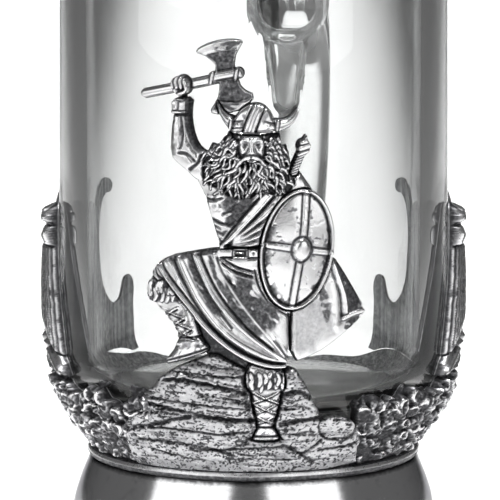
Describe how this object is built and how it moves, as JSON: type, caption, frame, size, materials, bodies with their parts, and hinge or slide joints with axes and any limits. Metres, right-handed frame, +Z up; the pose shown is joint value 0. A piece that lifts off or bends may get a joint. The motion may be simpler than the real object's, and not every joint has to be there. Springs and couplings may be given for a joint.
{
  "type": "lidded glass tankard",
  "caption": "Lidded glass tankard with a loop handle, held in a cast pewter mount with a warrior, ships and a flared foot.",
  "frame": {"origin": "centre of the foot on the surface it stands on", "axes": "+Z up along the glass axis, +Y towards the handle"},
  "size_m": [0.097, 0.1325, 0.1846],
  "materials": {
    "antique_pewter": "antiqued cast relief",
    "polished_pewter": "polished",
    "clear_glass": "clear",
    "setting_compound": "matte",
    "pin_steel": "satin"
  },
  "bodies": {
    "tankard": {"glass_body": "clear_glass", "glass_handle": "clear_glass", "bedding": "setting_compound", "cup": "antique_pewter", "foot": "polished_pewter", "foot_bead": "polished_pewter", "rock_outcrop": "antique_pewter", "warrior_torso": "antique_pewter", "warrior_leg_bent": "antique_pewter", "warrior_leg_standing": "antique_pewter", "warrior_kilt": "antique_pewter", "warrior_helmet": "antique_pewter", "war_axe": "antique_pewter", "shield": "antique_pewter", "sword_hilt": "antique_pewter", "cloak": "antique_pewter", "bramble_left": "antique_pewter", "bramble_right": "antique_pewter", "wave_band": "antique_pewter", "longship_left": "antique_pewter", "longship_right": "antique_pewter", "sail_left": "antique_pewter", "sail_right": "antique_pewter", "hinge_strap": "antique_pewter", "hinge_pin": "pin_steel"},
    "lid": {"lid": "polished_pewter", "hinge_arm": "polished_pewter", "thumb_lever": "polished_pewter", "lid_finial": "polished_pewter", "finial_washer": "polished_pewter"}
  },
  "joints": [
    {"name": "lid_hinge", "type": "hinge", "parent": "tankard", "child": "lid", "pos_m": [0, 0.0526, 0.1524], "axis": [-1, 0, 0], "range_deg": [0, 105]}
  ]
}
